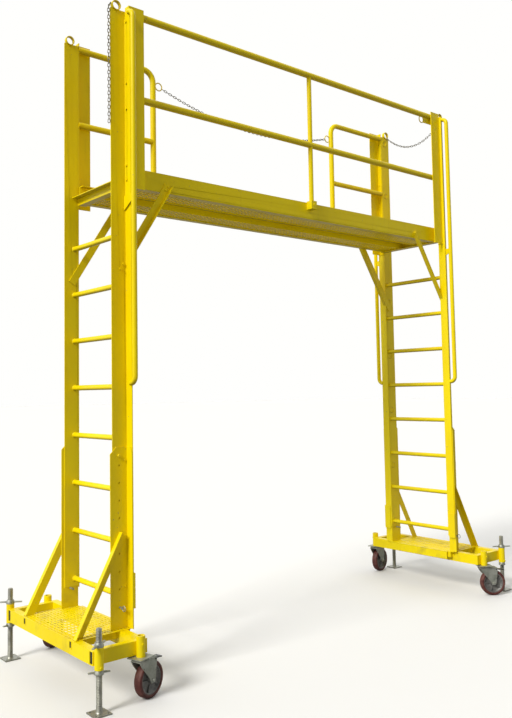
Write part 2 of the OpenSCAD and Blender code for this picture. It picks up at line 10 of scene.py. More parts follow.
import bpy
import bmesh
import json
import math
from mathutils import Matrix, Vector


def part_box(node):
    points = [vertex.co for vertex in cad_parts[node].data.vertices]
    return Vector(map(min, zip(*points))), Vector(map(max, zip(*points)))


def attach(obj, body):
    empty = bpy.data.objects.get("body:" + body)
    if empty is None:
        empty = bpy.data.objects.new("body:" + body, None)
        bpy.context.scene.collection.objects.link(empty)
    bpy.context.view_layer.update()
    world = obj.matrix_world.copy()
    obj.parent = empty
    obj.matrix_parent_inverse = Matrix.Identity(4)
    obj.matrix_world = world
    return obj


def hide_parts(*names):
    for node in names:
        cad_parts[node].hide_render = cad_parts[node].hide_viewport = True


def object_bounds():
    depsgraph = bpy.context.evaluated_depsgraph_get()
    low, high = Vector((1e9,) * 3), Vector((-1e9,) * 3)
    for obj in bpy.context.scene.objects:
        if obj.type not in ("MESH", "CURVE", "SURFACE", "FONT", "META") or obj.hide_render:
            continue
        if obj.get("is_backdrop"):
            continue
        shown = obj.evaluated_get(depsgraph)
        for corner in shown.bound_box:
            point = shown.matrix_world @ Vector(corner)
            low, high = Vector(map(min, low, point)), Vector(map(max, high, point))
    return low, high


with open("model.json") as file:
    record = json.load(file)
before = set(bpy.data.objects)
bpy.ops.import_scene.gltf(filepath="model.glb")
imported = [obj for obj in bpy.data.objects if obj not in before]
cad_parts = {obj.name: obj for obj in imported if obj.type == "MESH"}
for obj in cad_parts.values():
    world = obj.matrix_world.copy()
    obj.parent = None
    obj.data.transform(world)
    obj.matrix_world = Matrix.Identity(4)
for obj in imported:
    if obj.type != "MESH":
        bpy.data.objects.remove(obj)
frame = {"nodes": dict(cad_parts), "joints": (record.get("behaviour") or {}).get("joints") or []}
cad_low, cad_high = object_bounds()
CORNERS = ("left_near", "left_far", "right_near", "right_far")
SIDES = ("left", "right")
print("CAD box:", [round(v, 3) for v in cad_low], [round(v, 3) for v in cad_high])

# %% [markdown]
# ## The camera
#
# The viewer stands at the near left corner, about eye height, a few metres off. The lens is a normal
# one, and the small shift slides the picture without turning the camera, so uprights stay upright.

# %% Place the camera
camera_data = bpy.data.cameras.new("viewer")
camera_data.lens = 38.91
camera_data.sensor_width = 36.0
camera_data.shift_x = 0.0306
camera_data.shift_y = -0.0273
camera_data.clip_start, camera_data.clip_end = 0.05, 400.0
camera = bpy.data.objects.new("viewer", camera_data)
bpy.context.scene.collection.objects.link(camera)
heading, tilt, roll = 50.79, 3.94, -0.894
camera.matrix_world = (
    Matrix.Translation((-3.9891, -4.2961, 1.6735))
    @ Matrix.Rotation(math.radians(heading - 90), 4, "Z")
    @ Matrix.Rotation(math.radians(90 + tilt), 4, "X")
    @ Matrix.Rotation(math.radians(roll), 4, "Z")
)
bpy.context.scene.camera = camera
print("camera at", [round(v, 2) for v in camera.location])

# %% [markdown]
# ## Light and floor
#
# A soft sky all round, brighter behind the scaffold than in front of it, keeps the near faces of the
# angles a deep mustard. The camera itself sees the sky white all round. One broad sun from the upper
# left lights the ladder sides, so each angle iron reads as two faces that meet at a crisp corner.

# %% Light the studio
def studio_sky():
    world = bpy.data.worlds.new("studio_sky")
    world.use_nodes = True
    nodes, links = world.node_tree.nodes, world.node_tree.links
    place = nodes.new("ShaderNodeTexCoord")
    along = nodes.new("ShaderNodeVectorMath")
    along.operation = "DOT_PRODUCT"
    along.inputs[1].default_value = (0.5, 0.86, 0.1)
    spread = nodes.new("ShaderNodeMapRange")
    spread.interpolation_type = "SMOOTHSTEP"
    spread.inputs["From Min"].default_value = -0.5
    spread.inputs["From Max"].default_value = 0.45
    spread.inputs["To Min"].default_value = 0.16
    spread.inputs["To Max"].default_value = 1.0
    links.new(place.outputs["Generated"], along.inputs[0])
    links.new(along.outputs["Value"], spread.inputs["Value"])
    seen = nodes.new("ShaderNodeMath")
    seen.operation = "MAXIMUM"
    links.new(spread.outputs["Result"], seen.inputs[0])
    links.new(nodes.new("ShaderNodeLightPath").outputs["Is Camera Ray"], seen.inputs[1])
    links.new(seen.outputs["Value"], nodes["Background"].inputs["Strength"])
    nodes["Background"].inputs["Color"].default_value = (1.0, 1.0, 0.985, 1)
    return world


bpy.context.scene.world = studio_sky()
bpy.context.scene.view_settings.view_transform = "Standard"
sun_data = bpy.data.lights.new("window", "SUN")
sun_data.energy = 2.9
sun_data.angle = math.radians(18)
sun_data.color = (1.0, 0.98, 0.94)
sun = bpy.data.objects.new("window", sun_data)
bpy.context.scene.collection.objects.link(sun)
sun.rotation_euler = Vector((0.80, 0.12, -0.62)).to_track_quat("-Z", "Y").to_euler()
print("sun energy", sun_data.energy)

# %% [markdown]
# The floor is a single pale sheet, far larger than the object. It is only the stage, so it is
# declared as such and never counts as part of the scaffold. It throws back less light than it shows
# to the camera, so the undersides stay darker than the tops.

# %% Lay the floor
def new_material(name):
    material = bpy.data.materials.new(name)
    material.use_nodes = True
    return material, material.node_tree.nodes, material.node_tree.links


def floor_finish():
    material, nodes, links = new_material("pale_floor")
    shader = nodes["Principled BSDF"]
    seen = nodes.new("ShaderNodeMix")
    seen.data_type = "RGBA"
    seen.inputs[6].default_value = (0.34, 0.34, 0.34, 1)
    seen.inputs[7].default_value = (0.86, 0.86, 0.85, 1)
    links.new(nodes.new("ShaderNodeLightPath").outputs["Is Camera Ray"], seen.inputs[0])
    links.new(seen.outputs[2], shader.inputs["Base Color"])
    shader.inputs["Roughness"].default_value = 0.75
    return material


floor_mesh = bpy.data.meshes.new("floor")
floor_bm = bmesh.new()
bmesh.ops.create_grid(floor_bm, x_segments=1, y_segments=1, size=120)
floor_bm.to_mesh(floor_mesh)
floor_bm.free()
floor = bpy.data.objects.new("floor", floor_mesh)
bpy.context.scene.collection.objects.link(floor)
floor.data.materials.append(floor_finish())
floor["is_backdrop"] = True
print("floor laid")

# %% [markdown]
# ## Finishes
#
# Every finish is grown from a few layers of noise that live in the object's own coordinates, so they
# stay put on the metal when a base slides or a caster turns. One helper makes a noise layer, another
# remaps it, and each finish is a short recipe of the two.

# %% Helpers for finishes
def noise(nodes, links, scale, detail=4.0, stretch=(1, 1, 1)):
    place = nodes.new("ShaderNodeTexCoord")
    turn = nodes.new("ShaderNodeMapping")
    turn.inputs["Scale"].default_value = stretch
    texture = nodes.new("ShaderNodeTexNoise")
    texture.inputs["Scale"].default_value = scale
    texture.inputs["Detail"].default_value = detail
    links.new(place.outputs["Object"], turn.inputs["Vector"])
    links.new(turn.outputs["Vector"], texture.inputs["Vector"])
    return texture.outputs["Fac"]


def remap(nodes, links, value, low, high, to_low, to_high):
    node = nodes.new("ShaderNodeMapRange")
    node.inputs["From Min"].default_value = low
    node.inputs["From Max"].default_value = high
    node.inputs["To Min"].default_value = to_low
    node.inputs["To Max"].default_value = to_high
    links.new(value, node.inputs["Value"])
    return node.outputs["Result"]


def blend_colours(nodes, links, factor, first, second):
    node = nodes.new("ShaderNodeMix")
    node.data_type = "RGBA"
    links.new(factor, node.inputs["Factor"])
    for socket, colour in ((node.inputs["A"], first), (node.inputs["B"], second)):
        if isinstance(colour, tuple):
            socket.default_value = (*colour, 1)
        else:
            links.new(colour, socket)
    return node.outputs["Result"]


def multiply(nodes, links, first, second):
    node = nodes.new("ShaderNodeMath")
    node.operation = "MULTIPLY"
    links.new(first, node.inputs[0])
    links.new(second, node.inputs[1])
    return node.outputs["Value"]


def grain(nodes, links, shader, height, strength, depth):
    node = nodes.new("ShaderNodeBump")
    node.inputs["Strength"].default_value = strength
    node.inputs["Distance"].default_value = depth
    links.new(height, node.inputs["Height"])
    links.new(node.outputs["Normal"], shader.inputs["Normal"])


def height_above_floor(nodes, links):
    place = nodes.new("ShaderNodeTexCoord")
    split = nodes.new("ShaderNodeSeparateXYZ")
    links.new(place.outputs["Object"], split.inputs["Vector"])
    return split.outputs["Z"]


print("finish helpers ready")

# %% [markdown]
# ### Yellow paint
#
# The steel is brushed and sprayed with safety yellow. Large soft patches differ a little in depth,
# as sprayed coats do. Boots and dust darken the lowest parts, and small chips show grey metal. Faces
# that look down are painted darker, as painted shade, and this shade goes into every yellow part. The
# fine grain is the orange peel that a spray gun leaves.

# %% Mix the yellow paint
def yellow_paint(name="yellow_paint", worn=1.0):
    material, nodes, links = new_material(name)
    shader = nodes["Principled BSDF"]
    patches = remap(nodes, links, noise(nodes, links, 2.2), 0.3, 0.7, 0.0, 1.0)
    coat = blend_colours(nodes, links, patches, (0.90, 0.685, 0.0), (0.95, 0.765, 0.0))
    low_down = remap(nodes, links, height_above_floor(nodes, links), 0.1, 0.9, 0.75, 0.06)
    dust = remap(nodes, links, noise(nodes, links, 9.0, 8.0), 0.52, 0.78, 0.0, 0.55 * worn)
    coat = blend_colours(nodes, links, multiply(nodes, links, low_down, dust), coat, (0.30, 0.21, 0.05))
    streaks = noise(nodes, links, 6.0, 6.0, (6, 6, 0.5))
    streaks = remap(nodes, links, streaks, 0.58, 0.80, 0.0, 0.22 * worn)
    coat = blend_colours(nodes, links, streaks, coat, (0.62, 0.43, 0.01))
    chips = remap(nodes, links, noise(nodes, links, 60.0, 3.0), 0.735, 0.75, 0.0, 0.8 * worn)
    coat = blend_colours(nodes, links, chips, coat, (0.22, 0.20, 0.17))
    # Painted shade: faces that look down are darkened, whatever light reaches them.
    facing = nodes.new("ShaderNodeSeparateXYZ")
    links.new(nodes.new("ShaderNodeNewGeometry").outputs["Normal"], facing.inputs["Vector"])
    painted_underside_shade = remap(nodes, links, facing.outputs["Z"], -0.75, -0.25, 0.72, 0.0)
    coat = blend_colours(nodes, links, painted_underside_shade, coat, (0.26, 0.19, 0.0))
    links.new(coat, shader.inputs["Base Color"])
    gloss = remap(nodes, links, noise(nodes, links, 14.0, 5.0), 0.3, 0.7, 0.30, 0.46)
    links.new(gloss, shader.inputs["Roughness"])
    shader.inputs["Specular IOR Level"].default_value = 0.28
    grain(nodes, links, shader, noise(nodes, links, 420.0, 2.0), 0.25, 0.0004)
    return material


PAINT = yellow_paint()
print("mixed", PAINT.name)

# %% [markdown]
# The tread plates are walked on, so their paint is rubbed and dirtier than the rest.

# %% Mix the rubbed tread paint
TREAD_PAINT = yellow_paint("rubbed_tread_paint", worn=1.7)
print("mixed", TREAD_PAINT.name)

# %% [markdown]
# ### Zinc plate
#
# Jacks, forks and pins are plated, not painted. Old zinc is a dull grey with a green cast, and it
# blooms in pale patches, so both colour and roughness wander. The metal is only partly mirror-like.

# %% Plate the jacks and forks
def zinc_plate(name, dull, bright, low_rough=0.42, high_rough=0.62, metal=0.75):
    material, nodes, links = new_material(name)
    shader = nodes["Principled BSDF"]
    bloom = remap(nodes, links, noise(nodes, links, 26.0, 7.0), 0.32, 0.68, 0.0, 1.0)
    skin = blend_colours(nodes, links, bloom, dull, bright)
    grime = remap(nodes, links, noise(nodes, links, 70.0, 5.0), 0.60, 0.80, 0.0, 0.7)
    skin = blend_colours(nodes, links, grime, skin, (0.10, 0.085, 0.06))
    links.new(skin, shader.inputs["Base Color"])
    links.new(remap(nodes, links, bloom, 0, 1, low_rough, high_rough), shader.inputs["Roughness"])
    shader.inputs["Metallic"].default_value = metal
    grain(nodes, links, shader, noise(nodes, links, 300.0, 3.0), 0.3, 0.0004)
    return material


ZINC = zinc_plate("zinc_plate", (0.30, 0.32, 0.27), (0.52, 0.53, 0.47))
CHAIN_ZINC = zinc_plate("chain_zinc", (0.16, 0.15, 0.12), (0.34, 0.33, 0.28), 0.28, 0.42, 0.9)
SCREW_ZINC = zinc_plate("screw_zinc", (0.34, 0.34, 0.29), (0.50, 0.50, 0.43), 0.34, 0.5, 0.85)
print("plated", ZINC.name, CHAIN_ZINC.name, SCREW_ZINC.name)

# %% [markdown]
# ### Treads, hubs and pedals
#
# The wheels are cast iron with a bonded tread of dark red polyurethane. Dust sits in the tread in
# patches, which are also rougher. The brake pedals are dipped in black plastic.

# %% Mix the wheel and pedal finishes
def moulded(name, deep, worn, scale, rough, metal=0.0, depth=0.0005):
    material, nodes, links = new_material(name)
    shader = nodes["Principled BSDF"]
    scuff = remap(nodes, links, noise(nodes, links, scale, 8.0), 0.40, 0.72, 0.0, 1.0)
    links.new(blend_colours(nodes, links, scuff, deep, worn), shader.inputs["Base Color"])
    links.new(remap(nodes, links, scuff, 0, 1, rough, rough + 0.25), shader.inputs["Roughness"])
    shader.inputs["Metallic"].default_value = metal
    grain(nodes, links, shader, noise(nodes, links, scale * 9, 3.0), 0.35, depth)
    return material


TREAD = moulded("wheel_tread", (0.085, 0.018, 0.014), (0.17, 0.06, 0.045), 38.0, 0.45)
HUB = moulded("wheel_hub", (0.15, 0.15, 0.145), (0.28, 0.27, 0.25), 45.0, 0.42, 0.5)
PEDAL = moulded("pedal_dip", (0.012, 0.012, 0.012), (0.05, 0.048, 0.045), 50.0, 0.35)
# Near-black finish for the blocks inside the open tube ends: painted shade for the hollow tubes.
TUBE_END_SHADE = moulded("painted_tube_end_shade", (0.008, 0.008, 0.008), (0.03, 0.028, 0.022), 60.0, 0.5)
print("moulded", TREAD.name, HUB.name, PEDAL.name, TUBE_END_SHADE.name)

# %% [markdown]
# ## Dressing the CAD nodes
#
# A CAD node comes as loose triangles, so every edge is razor sharp. Real angles are rolled with a
# small radius that catches a thin line of light. A Weld modifier joins the triangles, and a Bevel
# that works only on sharp edges rounds them, without touching the CAD mesh itself.

# %% Paint and plate the nodes
def soften(node, radius, steps=2):
    weld = node.modifiers.new("join", "WELD")
    weld.merge_threshold = 0.00002
    edge = node.modifiers.new("rolled_edge", "BEVEL")
    edge.width = radius
    edge.segments = steps
    edge.limit_method = "ANGLE"
    edge.angle_limit = math.radians(50)
    edge.use_clamp_overlap = True


def finish_for(name):
    if "pedal" in name:
        return PEDAL
    if "wheel" in name:
        return TREAD
    if "chain" in name:
        return CHAIN_ZINC
    if "fork" in name or "jack" in name or "pin" in name:
        return ZINC
    return PAINT


ROLLED = ("stile", "side_channel", "end_beam", "sleeve", "centre_plank", "caster_fork", "brake_pedal")
for name, node in frame["nodes"].items():
    node.data.materials.clear()
    node.data.materials.append(finish_for(name))
    if name.endswith(ROLLED):
        soften(node, 0.0015)
print("dressed", len(frame["nodes"]), "nodes")

# %% [markdown]
# ## Helpers for new pieces
#
# Each new piece starts as an empty bmesh. A block is a cube stretched between two corners, with its
# edges bevelled. A turned piece is a profile of a few points, spun round an axis, the way a lathe
# works. The finished mesh becomes an object at the origin that rides on its CAD body.

# %% Blocks, turned pieces and finished objects
def block(bm, low, high, edge=0.001):
    low, high = Vector(low), Vector(high)
    made = bmesh.ops.create_cube(bm, size=1.0)["verts"]
    bmesh.ops.scale(bm, vec=high - low, verts=made)
    bmesh.ops.translate(bm, vec=(low + high) / 2, verts=made)
    if edge:
        rims = list({e for v in made for e in v.link_edges})
        bmesh.ops.bevel(
            bm, geom=rims, offset=edge, offset_type="OFFSET", segments=2,
            affect="EDGES", profile=0.5, material=-1,
        )


def turned(bm, profile, place=Matrix(), steps=32, closed=False):
    verts = [bm.verts.new((r, 0, z)) for r, z in profile]
    edges = [bm.edges.new(pair) for pair in zip(verts, verts[1:])]
    if closed:
        edges.append(bm.edges.new((verts[-1], verts[0])))
    made = bmesh.ops.spin(
        bm, geom=verts + edges, cent=(0, 0, 0), axis=(0, 0, 1),
        angle=math.tau, steps=steps, use_merge=True,
    )
    touched = set(verts)
    grown = True
    while grown:
        more = {e.other_vert(v) for v in touched for e in v.link_edges} - touched
        grown = bool(more)
        touched |= more
    touched = list(touched)
    bmesh.ops.remove_doubles(bm, verts=touched, dist=0.000005)
    touched = [v for v in touched if v.is_valid]
    bmesh.ops.transform(bm, matrix=place, verts=touched)
    return touched


def standing(point, axis=(0, 0, 1)):
    turn = Vector(axis).normalized().to_track_quat("Z", "Y")
    return Matrix.Translation(point) @ turn.to_matrix().to_4x4()


def finished(bm, name, body, material, smooth=True, outward=True):
    if outward:
        bmesh.ops.recalc_face_normals(bm, faces=bm.faces[:])
    for face in bm.faces:
        face.smooth = smooth
    mesh = bpy.data.meshes.new(name)
    bm.to_mesh(mesh)
    bm.free()
    mesh.materials.append(material)
    if smooth:
        mesh.set_sharp_from_angle(angle=math.radians(38))
    piece = bpy.data.objects.new(name, mesh)
    bpy.context.scene.collection.objects.link(piece)
    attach(piece, body)
    return piece


print("helpers ready")

# %% [markdown]
# ## Chains
#
# A chain is one link repeated, each turned a quarter from the last. The link is a rod bent into a
# racetrack: a ring of wire is spun half round, pushed straight, spun half round again and pushed back.
# The links are strung along the same sagging routes as the CAD chains.

# %% Bend one link
PITCH, WIRE, HALF_WIDTH = 0.0215, 0.0023, 0.0062


def link_mesh():
    bm = bmesh.new()
    ring = bmesh.ops.create_circle(bm, segments=6, radius=WIRE)["verts"]
    straight = PITCH / 2 - HALF_WIDTH + WIRE
    bmesh.ops.translate(bm, verts=ring, vec=(HALF_WIDTH, 0, straight))
    geom = list(bm.edges)
    for side in (1, -1):
        turn = bmesh.ops.spin(
            bm, geom=geom, cent=(0, 0, side * straight), axis=(0, -1, 0),
            angle=math.pi, steps=6,
        )["geom_last"]
        edges = [g for g in turn if isinstance(g, bmesh.types.BMEdge)]
        pushed = bmesh.ops.extrude_edge_only(bm, edges=edges)["geom"]
        verts = [g for g in pushed if isinstance(g, bmesh.types.BMVert)]
        bmesh.ops.translate(bm, verts=verts, vec=(0, 0, -2 * side * straight))
        geom = [g for g in pushed if isinstance(g, bmesh.types.BMEdge)]
        geom = [e for e in geom if all(v in verts for v in e.verts)]
    bmesh.ops.remove_doubles(bm, verts=bm.verts[:], dist=0.00005)
    bmesh.ops.recalc_face_normals(bm, faces=bm.faces[:])
    mesh = bpy.data.meshes.new("one_link")
    bm.to_mesh(mesh)
    bm.free()
    return mesh


LINK = link_mesh()
print("one link:", len(LINK.polygons), "faces")

# %% [markdown]
# Walking along a route in equal steps of one pitch gives each link its place and its heading.

# %% String the links
def walk(route, step):
    route = [Vector(p) for p in route]
    spots, left = [], step / 2
    for a, b in zip(route, route[1:]):
        run = (b - a).length
        while left < run:
            spots.append((a.lerp(b, left / run), (b - a).normalized()))
            left += step
        left -= run
    return spots


def strung(name, node, body, route, twist=0.6):
    bm = bmesh.new()
    spots = walk(route, PITCH)
    for i, (spot, heading) in enumerate(spots):
        start = len(bm.verts)
        bm.from_mesh(LINK)
        bm.verts.ensure_lookup_table()
        place = standing(spot, heading) @ Matrix.Rotation(twist + i * math.pi / 2, 4, "Z")
        bmesh.ops.transform(bm, matrix=place, verts=bm.verts[start:])
    piece = finished(bm, name, body, CHAIN_ZINC, outward=False)
    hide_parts(node)
    print(name, "links:", len(spots), "length:", round(len(spots) * PITCH, 3))


def sagging(a, b, sag, steps=24):
    a, b = Vector(a), Vector(b)
    parts = [k / steps for k in range(steps + 1)]
    return [a.lerp(b, t) - Vector((0, 0, 4 * sag * t * (1 - t))) for t in parts]


# %% [markdown]
# Four chains hang on the scaffold: a long one across the back, one across the right gate, one that
# hangs open at the left gate, and a short tether on the far right grab rail.

# %% Hang the four chains
strung(
    "back_chain_links", "back_chain", "upper",
    sagging((-0.8722, 0.3133, 3.8973), (0.8217, 0.3133, 3.8589), 0.129),
)
strung(
    "right_gate_chain_links", "right_gate_chain", "upper",
    [(1.6221, 0.2797, 4.0249)] + sagging((1.6221, 0.2797, 4.0129), (1.618, -0.2660, 3.9622), 0.118),
)
strung(
    "left_gate_chain_links", "left_gate_chain", "left_gate_chain",
    [
        (-1.6624, -0.301, 4.0549), (-1.6624, -0.301, 4.0449),
        (-1.6725, -0.301, 4.0269), (-1.6725, -0.301, 3.2969),
    ],
)
strung(
    "tether_chain_links", "tether_chain", "upper",
    [(1.573, 0.350, 2.8030), (1.573, 0.350, 2.093)],
)

# %% [markdown]
# ## Punched walking surfaces
#
# The walkway planks are pressed sheet, punched with rows of holes whose rims are dimpled so boots
# grip. The sheet is a grid of cells. Each cell is inset, its inner face is removed, and the hole's
# edge is rounded to an oval and pushed a little up or down. Solidify gives the sheet its gauge.

# %% Punch a sheet
def punched_sheet(bm, low, high, cell, hole, rim=0.0, gauge=0.003, keep=None, spread=None):
    low, high = Vector(low), Vector(high)
    size = high - low
    across, along = max(1, round(size.x / cell[0])), max(1, round(size.y / cell[1]))
    sheet = bmesh.ops.create_grid(bm, x_segments=across, y_segments=along, size=0.5)["verts"]
    bmesh.ops.scale(bm, vec=(size.x, size.y, 1), verts=sheet)
    bmesh.ops.translate(bm, vec=((low.x + high.x) / 2, (low.y + high.y) / 2, high.z), verts=sheet)
    for v in sheet if spread else ():
        spread(v)
    cells = list({f for v in sheet for f in v.link_faces})
    chosen = [f for f in cells if keep is None or keep(f.calc_center_median())]
    bmesh.ops.inset_individual(bm, faces=chosen, thickness=min(cell) * 0.22)
    rims = list({e for f in chosen for e in f.edges})
    centres = {f: f.calc_center_median() for f in chosen}
    bmesh.ops.subdivide_edges(bm, edges=rims, cuts=1)
    for face, centre in centres.items():
        for v in face.verts:
            out = (v.co - centre).normalized()
            v.co = centre + Vector((out.x * hole[0], out.y * hole[1], rim))
    bmesh.ops.delete(bm, geom=chosen, context="FACES_ONLY")
    faces = [f for f in bm.faces if abs(f.calc_center_median().z - high.z) < 0.004]
    bmesh.ops.recalc_face_normals(bm, faces=faces)
    if sum(f.normal.z for f in faces) < 0:
        bmesh.ops.reverse_faces(bm, faces=faces)
    bmesh.ops.solidify(bm, geom=faces, thickness=gauge)
    return len(chosen)


print("punch ready")

# %% [markdown]
# The two outer planks are punched and the middle one is plain. Each has a folded skirt along both
# sides, which is what stiffens it over three metres. A second punched sheet closes the underside, and
# it is the one that shows from the floor.

# %% Press the two outer planks
for side in ("near", "far"):
    node = f"{side}_plank"
    low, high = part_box(node)
    bm = bmesh.new()
    holes = sum(
        punched_sheet(
            bm, (low.x, low.y + 0.0035, 0), (high.x, high.y - 0.0035, z),
            cell=(0.030, 0.0326), hole=(0.0095, 0.0135), rim=rim, gauge=0.0022,
        )
        for z, rim in ((high.z - 0.0012, 0.0012), (low.z + 0.0034, -0.0010))
    )
    for y in (low.y, high.y - 0.003):
        block(bm, (low.x, y, low.z), (high.x, y + 0.003, high.z - 0.0012), 0.0008)
    piece = finished(bm, f"{side}_punched_plank", "upper", TREAD_PAINT, smooth=False)
    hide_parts(node)
    print(node, "holes:", holes)

# %% [markdown]
# The step plate of each base is punched more coarsely, in raised ribs that run across the base. It
# carries the same folded lip towards the platform as the CAD plate.

# %% Press the two step plates
for side in SIDES:
    node = f"{side}_base_deck"
    low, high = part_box(node)
    inner, outer = (high.x, low.x) if side == "left" else (low.x, high.x)
    sign = 1 if side == "right" else -1
    fold = inner + sign * 0.017
    lip = 0.290
    bm = bmesh.new()
    x0, x1 = sorted((fold, outer))
    holes = punched_sheet(
        bm, (x0, low.y, 0), (x1, high.y, high.z - 0.0016),
        cell=(0.0226, 0.0456), hole=(0.0065, 0.0165), rim=0.0016, gauge=0.003,
    )
    x0, x1 = sorted((inner, fold + sign * 0.0005))
    block(bm, (x0, -lip, high.z - 0.0046), (x1, lip, high.z - 0.0016), 0.0006)
    x0, x1 = sorted((inner, inner + sign * 0.004))
    block(bm, (x0, -lip, low.z), (x1, lip, high.z - 0.002), 0.001)
    piece = finished(bm, f"{side}_step_plate", f"{side}_base", TREAD_PAINT, smooth=False)
    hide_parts(node)
    print(node, "holes:", holes)

# %% [markdown]
# ## Wheels
#
# Each wheel is turned in two pieces: a cast hub with a dished web and a raised boss, and the tread
# that is moulded on to it. The axle's place and direction come from the CAD joint.

# %% Turn the hubs and treads
JOINTS = {joint["name"]: joint for joint in frame["joints"]}
HUB_PROFILE = [
    (0.0062, -0.0277), (0.0150, -0.0277), (0.0205, -0.0268), (0.0225, -0.0240), (0.0245, -0.0140),
    (0.0300, -0.0105), (0.0640, -0.0085), (0.0700, -0.0120), (0.0735, -0.0195), (0.0760, -0.0212),
    (0.0800, -0.0212),
]
TREAD_PROFILE = [
    (0.0795, -0.0215), (0.0830, -0.0240), (0.0870, -0.0250), (0.0930, -0.0250), (0.0975, -0.0228),
    (0.1003, -0.0175), (0.1012, -0.0100), (0.1015, 0.0),
]


def both_ways(profile):
    return profile + [(r, -z) for r, z in reversed(profile) if z != 0]


for corner in CORNERS:
    axle = JOINTS[f"{corner}_axle"]
    place = standing(axle["pos_m"], axle["axis"])
    bm = bmesh.new()
    turned(bm, both_ways(HUB_PROFILE), place, steps=48, closed=True)
    for k in range(5):
        spoke = place @ Matrix.Rotation(math.tau * k / 5, 4, "Z")
        start = len(bm.verts)
        block(bm, (0.022, -0.005, -0.0175), (0.073, 0.005, 0.0175), 0.003)
        bm.verts.ensure_lookup_table()
        bmesh.ops.transform(bm, matrix=spoke, verts=bm.verts[start:])
    hub = finished(bm, f"{corner}_hub", f"{corner}_wheel", HUB)
    bm = bmesh.new()
    turned(bm, both_ways(TREAD_PROFILE), place, steps=64, closed=True)
    tread = finished(bm, f"{corner}_tread", f"{corner}_wheel", TREAD)
    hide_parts(f"{corner}_wheel")
print("turned", len(CORNERS), "wheels")

# %% [markdown]
# The swivel of each caster is a double ball race. Two pressed rings show between its plates, with a
# thin seal between them, and a low cap closes the top of the stem.

# %% Dress the swivels
RACE_PROFILE = [
    (0.0400, -0.0160), (0.0452, -0.0152), (0.0470, -0.0130), (0.0452, -0.0112), (0.0440, -0.0108),
    (0.0452, -0.0104), (0.0466, -0.0088), (0.0452, -0.0070), (0.0400, -0.0062),
]
KINGPIN_PROFILE = [(0.0, 0.0), (0.0120, 0.0), (0.0120, 0.004), (0.0100, 0.0062), (0.0, 0.0070)]
SWIVEL_HEIGHT = 0.239

for corner in CORNERS:
    swivel = Vector(JOINTS[f"{corner}_swivel"]["pos_m"])
    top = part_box(f"{corner}_caster_fork")[1].z
    bm = bmesh.new()
    level = Matrix.Translation((swivel.x, swivel.y, SWIVEL_HEIGHT))
    turned(bm, RACE_PROFILE, level, steps=40, closed=True)
    turned(bm, KINGPIN_PROFILE, Matrix.Translation((swivel.x, swivel.y, top)), steps=24)
    race = finished(bm, f"{corner}_ball_race", f"{corner}_caster_fork", SCREW_ZINC)
print("dressed", len(CORNERS), "swivels")

# %% [markdown]
# ## Levelling jacks
#
# A jack is a coarse threaded rod welded to a square foot, with a cast wing nut above and below its
# socket. The thread is made as a machine cuts it: one V of the profile is spun round and lifted by one
# pitch a turn.

# %% Cut the thread
THREAD_PITCH, CREST, ROOT = 0.008, 0.0169, 0.0147
THREAD_PROFILE = [(ROOT, 0.0), (CREST, 0.30), (CREST, 0.50), (ROOT, 0.80), (ROOT, 1.0)]
END_PROFILE = [(0, 0), (0.0152, 0), (0.0152, 0.008), (0.0120, 0.011), (0, 0.011)]
COLLAR_PROFILE = [
    (0.0, 0.0), (0.0215, 0.0), (0.0190, 0.004), (0.0166, 0.009),
    (0.0166, 0.034), (0.0150, 0.037), (0.0, 0.037),
]
PLATE_THICK, PLATE_HOLE, PLATE_MIDDLE = 0.008, 0.006, 0.022
CENTRE_HALF = 0.03  # nearer the middle than this is neither an edge nor a corner of the plate


def threaded(bm, x, y, low, high, steps=20):
    turns = int((high - low) / THREAD_PITCH)
    verts = [bm.verts.new((r, 0, z * THREAD_PITCH)) for r, z in THREAD_PROFILE]
    edges = [bm.edges.new(pair) for pair in zip(verts, verts[1:])]
    start = len(bm.verts) - len(verts)
    bmesh.ops.spin(
        bm, geom=verts + edges, cent=(0, 0, 0), axis=(0, 0, 1), dvec=(0, 0, THREAD_PITCH / steps),
        angle=math.tau * turns, steps=steps * turns, use_merge=False,
    )
    bm.verts.ensure_lookup_table()
    made = bm.verts[start:]
    bmesh.ops.remove_doubles(bm, verts=made, dist=0.00002)
    made = [v for v in made if v.is_valid]
    bmesh.ops.translate(bm, vec=(x, y, low), verts=made)
    open_rims = [e for v in made for e in v.link_edges if e.is_boundary]
    bmesh.ops.holes_fill(bm, edges=list(set(open_rims)), sides=0)
    end = low + (turns + 1) * THREAD_PITCH
    turned(bm, END_PROFILE, Matrix.Translation((x, y, end - THREAD_PITCH)))
    return turns


for corner in CORNERS:
    node = f"{corner}_jack_screw"
    low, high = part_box(node)
    x, y = (low.x + high.x) / 2, (low.y + high.y) / 2
    half = (high.x - low.x) / 2
    bm = bmesh.new()

    def near_corner(spot):
        return abs(spot.x - x) > CENTRE_HALF and abs(spot.y - y) > CENTRE_HALF

    def widen_middle(v):
        for i, centre in ((0, x), (1, y)):
            away = v.co[i] - centre
            v.co[i] = centre + math.copysign(half if abs(away) > CENTRE_HALF else PLATE_MIDDLE, away)

    punched_sheet(
        bm, (x - half, y - half, 0), (x + half, y + half, low.z + PLATE_THICK),
        cell=(2 * half / 3, 2 * half / 3), hole=(PLATE_HOLE, PLATE_HOLE), gauge=PLATE_THICK,
        keep=near_corner, spread=widen_middle,
    )
    turns = threaded(bm, x, y, low.z + 0.040, high.z - 0.012)
    turned(bm, COLLAR_PROFILE, Matrix.Translation((x, y, low.z + 0.007)), steps=32)
    piece = finished(bm, f"{corner}_threaded_jack", node, SCREW_ZINC)
    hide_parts(node)
print("thread turns:", turns)

# %% [markdown]
# The wing nuts are cast iron: a round boss with two thick lugs that taper and stay rounded at the
# tips. The upper pair is a little longer than the lower one, and each pair sits at its own angle.

